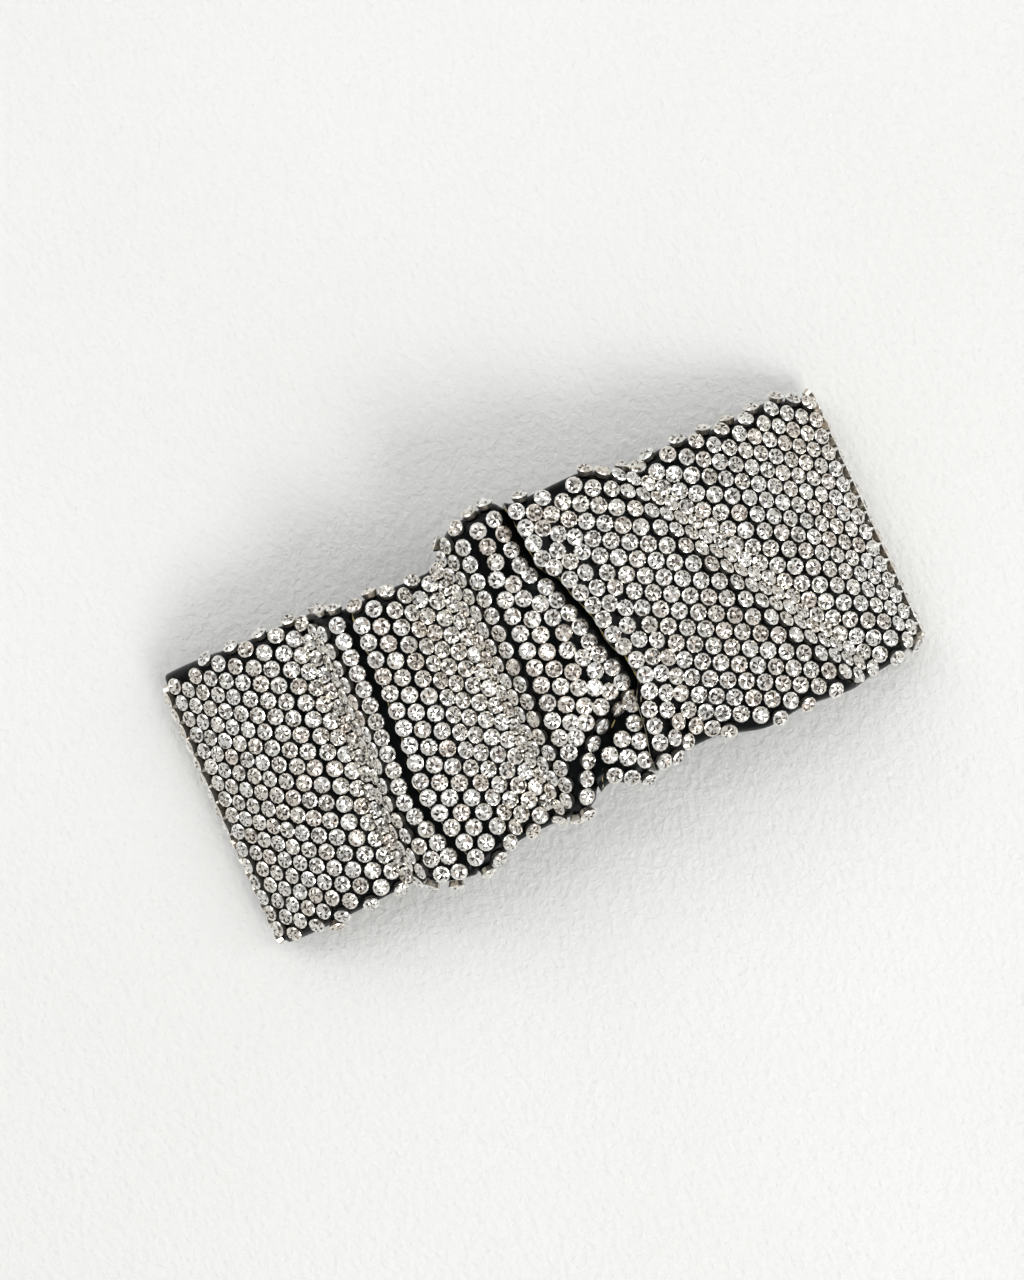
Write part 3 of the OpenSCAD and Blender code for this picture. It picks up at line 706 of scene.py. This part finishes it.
def setting_tree():
    tree = bpy.data.node_groups.new("set_stones", "GeometryNodeTree")
    ids = {
        "Places": group_socket(tree, "Places", "NodeSocketGeometry"),
        "Tray": group_socket(tree, "Tray", "NodeSocketCollection"),
        "Size": group_socket(tree, "Size", "NodeSocketFloat", 1.0),
        "Lean": group_socket(tree, "Lean", "NodeSocketFloat", 0.05),
        "Crystal": group_socket(tree, "Crystal", "NodeSocketMaterial"),
    }
    group_socket(tree, "Stones", "NodeSocketGeometry", way="OUTPUT")
    new, link = tree.nodes.new, tree.links.new
    given, out = new("NodeGroupInput"), new("NodeGroupOutput")

    stones = new("GeometryNodeCollectionInfo")
    stones.inputs["Separate Children"].default_value = True
    stones.inputs["Reset Children"].default_value = True
    link(given.outputs["Tray"], stones.inputs["Collection"])

    upright = new("GeometryNodeInputNamedAttribute")
    upright.data_type = "FLOAT_VECTOR"
    upright.inputs["Name"].default_value = "upright"
    stand = new("FunctionNodeAlignRotationToVector")
    stand.axis = "Z"
    link(upright.outputs["Attribute"], stand.inputs["Vector"])

    spin = new("FunctionNodeAxisAngleToRotation")
    spin.inputs["Axis"].default_value = (0, 0, 1)
    link(random_value(tree, "FLOAT", 0.0, 2 * math.pi, 3), spin.inputs["Angle"])
    lean = new("FunctionNodeAxisAngleToRotation")
    lean.inputs["Axis"].default_value = (1, 0, 0)
    chance = new("ShaderNodeMath")
    chance.operation = "MULTIPLY"
    link(random_value(tree, "FLOAT", -1.0, 1.0, 7), chance.inputs[0])
    link(given.outputs["Lean"], chance.inputs[1])
    link(chance.outputs[0], lean.inputs["Angle"])
    spun, leaned = new("FunctionNodeRotateRotation"), new("FunctionNodeRotateRotation")
    spun.rotation_space = leaned.rotation_space = "LOCAL"
    link(stand.outputs["Rotation"], spun.inputs["Rotation"])
    link(spin.outputs["Rotation"], spun.inputs["Rotate By"])
    link(spun.outputs["Rotation"], leaned.inputs["Rotation"])
    link(lean.outputs["Rotation"], leaned.inputs["Rotate By"])

    put = new("GeometryNodeInstanceOnPoints")
    put.inputs["Pick Instance"].default_value = True
    link(given.outputs["Places"], put.inputs["Points"])
    link(stones.outputs["Instances"], put.inputs["Instance"])
    link(random_value(tree, "INT", 0, 4, 11), put.inputs["Instance Index"])
    link(leaned.outputs["Rotation"], put.inputs["Rotation"])
    link(given.outputs["Size"], put.inputs["Scale"])

    tone = new("GeometryNodeStoreNamedAttribute")
    tone.data_type, tone.domain = "FLOAT", "INSTANCE"
    tone.inputs["Name"].default_value = "stone_tone"
    link(put.outputs["Instances"], tone.inputs["Geometry"])
    link(random_value(tree, "FLOAT", 0.0, 1.0, 19), tone.inputs["Value"])

    real, paint = new("GeometryNodeRealizeInstances"), new("GeometryNodeSetMaterial")
    link(tone.outputs["Geometry"], real.inputs["Geometry"])
    link(real.outputs["Geometry"], paint.inputs["Geometry"])
    link(given.outputs["Crystal"], paint.inputs["Material"])
    link(paint.outputs["Geometry"], out.inputs[0])
    return tree, ids


set_stones, stone_ids = setting_tree()


# %% Set the stones on each sheet
LIFT_SIDE, LIFT_FLAT = 1.34, 0.86  # just over the girdle's radius, and about its height


def set_on(sheet):
    """The stones of one sheet, as one plain mesh."""
    u, v = stone_places(sheet).T
    normal = skin_normal(sheet, u, v)
    at = skin(sheet, u, v) + normal * STONE_SEAT
    # A stone low on an end skirt is lifted so that its girdle clears the table.
    sideways = np.sqrt(np.maximum(0, 1 - normal[:, 2] ** 2))
    at[:, 2] = np.maximum(at[:, 2], LIFT_SIDE * sideways - LIFT_FLAT * normal[:, 2])
    piece = new_piece(f"stones_{sheet}", at, [])
    upright = piece.data.attributes.new("upright", "FLOAT_VECTOR", "POINT")
    upright.data.foreach_set("vector", normal.astype(np.float32).ravel())
    setting = piece.modifiers.new("setting", "NODES")
    setting.node_group = set_stones
    for name, value in (("Tray", tray), ("Size", 1.0), ("Lean", 0.07),
                        ("Crystal", crystal.mat)):
        setting[stone_ids[name]] = value
    keep_mesh(piece)
    print(f"{len(at)} stones on the {sheet} sheet, {len(piece.data.polygons)} faces")
    return piece


stones = {sheet: set_on(sheet) for sheet in ROWS}

# %% [markdown]
# ## Frayed cut edges
# Where a sheet is cut, its backing cloth and dried glue stand out as a thin pale line with
# amber drops in it. It is a flattened, wandering bead that follows the cut.

# %% Glue line along each cut
glue_line = Finish("dried_glue_line", (0.8, 0.76, 0.6), 0.35, Coat_Weight=0.6)
glue_line.color(glue_line.ramp(glue_line.noise(420, 3), [
    (0.36, (0.6, 0.6, 0.54)), (0.46, (0.05, 0.045, 0.03)), (0.53, (0.4, 0.3, 0.07)),
    (0.6, (0.2, 0.16, 0.07)), (0.68, (0.66, 0.65, 0.58))]))
glue_line.rough(glue_line.noise(900, 2), 0.2, 0.6)
glue_line.bump(glue_line.noise(2400, 3), 0.00008, 0.5)


def bead(name, path, radius, sides=8):
    """A closed tube along a path, with its own radius at each point."""
    ahead = np.gradient(path, axis=0)
    ahead /= np.linalg.norm(ahead, axis=1, keepdims=True)
    up = np.array([0.0, 0, 1]) - ahead * ahead[:, 2:3]
    up /= np.linalg.norm(up, axis=1, keepdims=True)
    side = np.cross(ahead, up)
    a = (np.arange(sides) * 2 * math.pi / sides)[None, :, None]
    round_it = side[:, None] * np.cos(a) + 0.7 * up[:, None] * np.sin(a)
    verts = path[:, None] + radius[:, None, None] * round_it
    faces = []
    for i in range(len(path) - 1):
        for k in range(sides):
            j = (k + 1) % sides
            faces.append([i * sides + k, i * sides + j, (i + 1) * sides + j, (i + 1) * sides + k])
    last = (len(path) - 1) * sides
    faces += [list(range(sides))[::-1], [last + k for k in range(sides)]]
    verts = verts.reshape(-1, 3)
    if volume_of(verts, faces) < 0:
        faces = [f[::-1] for f in faces]
    return new_piece(name, verts, faces, glue_line)


def wander(count, step, seed):
    """Smooth chance values between -1 and 1, one for each point."""
    knots = np.random.default_rng(seed).uniform(-1, 1, count // step + 3)
    return through([[i * step, k] for i, k in enumerate(knots)], np.arange(count, dtype=float))


def glue_bead(sheet, cut, v_from, v_to, seed):
    v = np.linspace(v_from, v_to, int((v_to - v_from) / 0.16))
    n = len(v)
    u = through(cut, v) - 0.04 + 0.13 * wander(n, 7, seed)
    path = skin(sheet, u, v)
    path[:, 2] += -0.12 + 0.12 * wander(n, 5, seed + 1)
    return bead(f"glue_line_{sheet}", path, 0.1 + 0.08 * wander(n, 6, seed + 2))


glue_lines = [glue_bead("centre", CUT_1, -21.2, 20.2, 60),
              glue_bead("right", CUT_2, -21.8, 23.5, 70),
              glue_bead("pleat", CUT_3, -20.5, -10.2, 80)]
print("glue lines made:", [p.name for p in glue_lines])

# %% [markdown]
# ## Felt back and foam pad
# The felt back is a millimetre of pressed wool, so it needs a fuzzy face and short stray
# fibres. The foam pad is all hidden, and is a thin crowned cushion with pulled-in edges.

# %% Layers that follow the arch
felt = Finish("black_wool_felt", (0.02, 0.02, 0.022), 0.95, Sheen_Weight=0.5, Sheen_Roughness=0.6)
felt.color(felt.ramp(felt.noise(900, 5), [(0.3, (0.010, 0.010, 0.012)),
                                          (0.55, (0.022, 0.022, 0.025)),
                                          (0.75, (0.045, 0.045, 0.05))]))
felt.rough(felt.noise(1500, 2), 0.85, 1.0)
felt.bump(felt.sum(felt.noise(1800, 5, distortion=1.5), felt.noise(500, 3)), 0.0003, 0.8)

foam = Finish("cream_foam", (0.8, 0.76, 0.62), 0.9)
foam.color(foam.ramp(foam.noise(500, 3), [(0.3, (0.66, 0.6, 0.45)), (0.7, (0.84, 0.8, 0.68))]))
foam.rough(foam.noise(900, 2), 0.8, 1.0)
foam.bump(foam.cells(1600), 0.0004, 0.8)


def layer(name, low_r, high_r, inset, round_off, finish, rough=0.0, seed=5):
    """A layer on the arch, cut to the outline less an inset, its edges rounded off."""
    edge = np.array([0, 0.15, 0.4, 0.8])
    us = np.concatenate([-END_U + inset + edge * round_off,
                         np.linspace(-END_U + inset + round_off, END_U - inset - round_off, 110),
                         END_U - inset - edge[::-1] * round_off])
    share = np.linspace(-1, 1, 61)[:, None]
    reach = half_width(us[None, :], share) - inset
    y = share * reach
    to_edge = np.minimum(reach - np.abs(y), END_U - inset - np.abs(us)[None, :])
    pull = 1 - np.sqrt(np.clip(1 - (1 - np.clip(to_edge / round_off, 0, 1)) ** 2, 0, 1))
    mid, half = (low_r + high_r) / 2, (high_r - low_r) / 2
    fuzz = np.random.default_rng(seed).normal(0, rough, y.shape)
    grids = []
    for side in (1, -1):
        r = mid + side * half * (1 - 0.75 * pull) - side * np.abs(fuzz)
        a = (us / PAD_R)[None, :] + 0 * y
        grids.append(np.stack([r * np.sin(a), y, ARCH_Z + r * np.cos(a)], -1))
    verts, faces, _ = shell(*grids)
    print(f"{name}: volume {volume_of(verts, faces):.0f} mm3")
    return new_piece(name, verts, faces, finish), grids


felt_piece, felt_grids = layer("felt_lining", ARCH_R, ARCH_R + FELT_T, FILM_T + EDGE_GAP, 0.5,
                               felt, 0.03)
foam_piece, _ = layer("foam_cushion", PAD_BASE_R + 0.02, PAD_R - 0.02, FILM_T + EDGE_GAP + 0.4,
                      2.0, foam, 0.02, 6)


# %% Stray fibres on the felt
def fibre_tree():
    tree = bpy.data.node_groups.new("felt_fibres", "GeometryNodeTree")
    ids = {"Felt": group_socket(tree, "Felt", "NodeSocketGeometry"),
           "Fibre": group_socket(tree, "Fibre", "NodeSocketObject"),
           "Density": group_socket(tree, "Density", "NodeSocketFloat", 1e6),
           "Wool": group_socket(tree, "Wool", "NodeSocketMaterial")}
    group_socket(tree, "Fibres", "NodeSocketGeometry", way="OUTPUT")
    new, link = tree.nodes.new, tree.links.new
    given, out = new("NodeGroupInput"), new("NodeGroupOutput")
    scatter = new("GeometryNodeDistributePointsOnFaces")
    scatter.inputs["Seed"].default_value = 23
    link(given.outputs["Felt"], scatter.inputs["Mesh"])
    link(given.outputs["Density"], scatter.inputs["Density"])
    fibre = new("GeometryNodeObjectInfo")
    link(given.outputs["Fibre"], fibre.inputs["Object"])
    turn = new("FunctionNodeAxisAngleToRotation")
    link(random_value(tree, "FLOAT", 0.0, 2 * math.pi, 5), turn.inputs["Angle"])
    laid = new("FunctionNodeRotateRotation")
    laid.rotation_space = "LOCAL"
    link(scatter.outputs["Rotation"], laid.inputs["Rotation"])
    link(turn.outputs["Rotation"], laid.inputs["Rotate By"])
    put = new("GeometryNodeInstanceOnPoints")
    link(scatter.outputs["Points"], put.inputs["Points"])
    link(fibre.outputs["Geometry"], put.inputs["Instance"])
    link(laid.outputs["Rotation"], put.inputs["Rotation"])
    link(random_value(tree, "FLOAT", 0.5, 1.3, 9), put.inputs["Scale"])
    real, paint = new("GeometryNodeRealizeInstances"), new("GeometryNodeSetMaterial")
    link(put.outputs["Instances"], real.inputs["Geometry"])
    link(real.outputs["Geometry"], paint.inputs["Geometry"])
    link(given.outputs["Wool"], paint.inputs["Material"])
    link(paint.outputs["Geometry"], out.inputs[0])
    return tree, ids


curl = np.array([[0, 0, 0], [0.16, 0, 0.09], [0.34, 0.05, 0.12], [0.5, 0.14, 0.06]])
width = np.array([0, 0.03, 0])
strip = np.concatenate([curl - width, curl + width])
fibre = new_piece("one_fibre", strip, [[i, i + 1, i + 5, i + 4] for i in range(3)])
bpy.context.scene.collection.objects.unlink(fibre)

fuzz_tree, fuzz_ids = fibre_tree()
under = felt_grids[1][3:-3, 4:-4]
rows, cols = under.shape[:2]
at = np.arange(rows * cols).reshape(rows, cols)
down = np.stack([at[:-1, :-1], at[1:, :-1], at[1:, 1:], at[:-1, 1:]], -1).reshape(-1, 4)
fuzz_piece = new_piece("felt_fuzz", under.reshape(-1, 3), down.tolist(), felt)
fuzzing = fuzz_piece.modifiers.new("fuzz", "NODES")
fuzzing.node_group = fuzz_tree
for name, value in (("Fibre", fibre), ("Density", 1.9e6), ("Wool", felt.mat)):
    fuzzing[fuzz_ids[name]] = value
keep_mesh(fuzz_piece)
print("fibres:", len(fuzz_piece.data.polygons) // 3)

# %% [markdown]
# ## Board, glue and steel
# These are hard pieces whose CAD shape is right, so they keep it and get a finish. The steel
# is nickel-plated strip, rolled and lightly brushed along its length, duller where fingers
# and hair rub it. The sprung pieces are a little darker and bluer.


# %% Board and glue
def paint(finish, *names):
    for name in names:
        mesh = nodes[name].data
        mesh.materials.clear()
        mesh.materials.append(finish.mat)


board = Finish("pressed_fibre_board", (0.5, 0.42, 0.3), 0.85)
board.color(board.ramp(board.noise(700, 5, (0.4, 1, 1)), [
    (0.3, (0.3, 0.24, 0.16)), (0.55, (0.48, 0.4, 0.29)), (0.8, (0.62, 0.55, 0.42))]))
board.rough(board.noise(900, 2), 0.7, 0.95)
board.bump(board.noise(1600, 4, (0.4, 1, 1)), 0.0001, 0.6)
paint(board, "stiffener_board")

clear_glue = Finish("set_clear_glue", (0.72, 0.66, 0.5), 0.25, Coat_Weight=0.4)
clear_glue.color(clear_glue.ramp(clear_glue.noise(260, 3), [(0.3, (0.55, 0.46, 0.28)),
                                                            (0.7, (0.8, 0.76, 0.62))]))
clear_glue.rough(clear_glue.noise(600, 3), 0.1, 0.5)
clear_glue.bump(clear_glue.noise(420, 2), 0.0002, 0.6)
paint(clear_glue, "glue_bed")


# %% Nickel-plated steel
def steel(name, bright, dark, rough_low, rough_high):
    metal = Finish(name, bright, rough_low, metallic=1.0)
    rub = metal.noise(90, 4)
    metal.color(metal.ramp(rub, [(0.3, dark), (0.6, bright), (0.85, bright)]))
    brushed = metal.noise(1.0, 3, (60, 9000, 9000))
    metal.rough(metal.sum(metal.sum(brushed, 0.5, "MULTIPLY"),
                          metal.sum(rub, 0.5, "MULTIPLY")), rough_low, rough_high)
    metal.bump(brushed, 0.00003, 0.35)
    return metal


nickel = steel("brushed_nickel_strip", (0.66, 0.65, 0.63), (0.5, 0.49, 0.47), 0.16, 0.5)
spring = steel("nickel_spring_strip", (0.56, 0.57, 0.59), (0.4, 0.41, 0.43), 0.14, 0.42)
turned = steel("turned_pin_steel", (0.5, 0.5, 0.51), (0.36, 0.36, 0.37), 0.2, 0.5)
paint(nickel, "barrette_plate", "locking_bar", "catch_bracket")
paint(spring, "tension_bar", "catch_leg_front", "catch_leg_rear")
paint(turned, "hinge_pin", "catch_rivet")
print("hard pieces painted")

# %% [markdown]
# ## Riding on the clip body
# Every new piece rides on the clip body, and the CAD pieces that the film, stones, felt and
# foam stand for are hidden.

# %% Ride and replace
for sheet, node in SHEET_NODES.items():
    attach(sheets[sheet], "clip_body")
    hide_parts(node)
    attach(stones[sheet], "clip_body")
    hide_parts(f"{sheet}_stones")
for piece in glue_lines:
    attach(piece, "clip_body")
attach(felt_piece, "clip_body")
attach(fuzz_piece, "clip_body")
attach(foam_piece, "clip_body")
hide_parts("felt_back")
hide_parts("foam_pad")

for sheet, rests in (("left", ["foam_cushion", "stiffener_board"]),
                     ("centre", ["foam_cushion", "film_left"]),
                     ("right", ["foam_cushion", "film_centre"]),
                     ("pleat", ["film_centre"])):
    across_mm, along_mm, area = cut_sizes[sheet]

# %% [markdown]
# ## Table, light and camera
# The clip lies on a near-white sheet with a fine leathery grain. One big soft light comes
# from the lower right, with weaker ones round it, so that the facets find something bright
# to flash and something dim to set it off. The camera looks straight down.

# %% Table
table_top = Finish("fine_grained_table", (0.84, 0.84, 0.82), 0.55)
grain = table_top.sum(table_top.cells(1000, "SMOOTH_F1", (1, 0.7, 1)),
                      table_top.noise(1300, 2, distortion=0.8))
table_top.color(table_top.ramp(table_top.noise(9, 2), [(0.3, (0.83, 0.83, 0.81)),
                                                       (0.7, (0.87, 0.87, 0.855))]))
table_top.rough(table_top.noise(60, 2), 0.5, 0.65)
table_top.bump(grain, 0.0003, 0.7)
reach, top_z = 900, -0.05
floor = new_piece("table_top", [(-reach, -reach, top_z), (reach, -reach, top_z),
                                (reach, reach, top_z), (-reach, reach, top_z)],
                  [[0, 1, 2, 3]], table_top)

# %% Camera
# The clip lies turned by ROLL_ANGLE in the view. FRAME_WIDTH is how many millimetres the view
# takes in at SEEN_AT above the table, about the height of the stones.
ROLL_ANGLE = math.radians(24.8)
CAMERA_HEIGHT, SEEN_AT, FRAME_WIDTH = 300.0, 14.0, 153.985
camera_data = bpy.data.cameras.new("camera")
camera_data.sensor_fit = "HORIZONTAL"
camera_data.sensor_width = 36
camera_data.lens = camera_data.sensor_width * (CAMERA_HEIGHT - SEEN_AT) / FRAME_WIDTH
camera_data.clip_start, camera_data.clip_end = 0.01, 10
camera = bpy.data.objects.new("camera", camera_data)
camera.location = Vector((-3.12, 5.05, CAMERA_HEIGHT)) * MM
camera.rotation_euler = (0, 0, -ROLL_ANGLE)
bpy.context.scene.collection.objects.link(camera)
bpy.context.scene.camera = camera
print(f"lens {camera_data.lens:.1f} mm at {CAMERA_HEIGHT:.0f} mm")


# %% Lights
def softbox(name, right, up, height, width, length, watts, color=(1, 1, 1)):
    """A rectangular light, placed by its distance right of and above the view's middle."""
    x_axis = Vector((math.cos(ROLL_ANGLE), -math.sin(ROLL_ANGLE), 0))
    y_axis = Vector((math.sin(ROLL_ANGLE), math.cos(ROLL_ANGLE), 0))
    light = bpy.data.lights.new(name, "AREA")
    light.shape, light.size, light.size_y = "RECTANGLE", width, length
    light.energy, light.color = watts, color
    lamp = bpy.data.objects.new(name, light)
    lamp.location = x_axis * right + y_axis * up + Vector((0, 0, height))
    lamp.rotation_euler = (-lamp.location).to_track_quat("-Z", "Y").to_euler()
    bpy.context.scene.collection.objects.link(lamp)


softbox("key", 0.7, -0.84, 1.12, 0.63, 0.63, 9.0, (1, 0.998, 0.985))
softbox("fill", -0.7, 0.5, 0.9, 0.8, 0.8, 3.9, (0.98, 0.99, 1))
softbox("top_strip", 0.1, 0.5, 1.1, 0.9, 0.25, 1.8)
softbox("side_strip", 0.8, 0.25, 0.8, 0.3, 0.8, 1.6)

world = bpy.data.worlds.new("soft_room")
world.use_nodes = True
room = world.node_tree
coords = room.nodes.new("ShaderNodeTexCoord")
split = room.nodes.new("ShaderNodeSeparateXYZ")
sky = room.nodes.new("ShaderNodeValToRGB")
room.links.new(coords.outputs["Generated"], split.inputs[0])
room.links.new(split.outputs["Z"], sky.inputs["Fac"])
for at, grey in ((0.55, 1.0), (0.75, 0.85), (0.92, 0.5)):
    element = sky.color_ramp.elements.new(at)
    element.color = (grey, grey, grey, 1)
sky.color_ramp.elements[0].color = (0.8, 0.8, 0.8, 1)
sky.color_ramp.elements[-1].color = (0.12, 0.12, 0.12, 1)
room.links.new(sky.outputs["Color"], room.nodes["Background"].inputs["Color"])
room.nodes["Background"].inputs["Strength"].default_value = 0.66
bpy.context.scene.world = world
bpy.context.scene.view_settings.view_transform = "Standard"
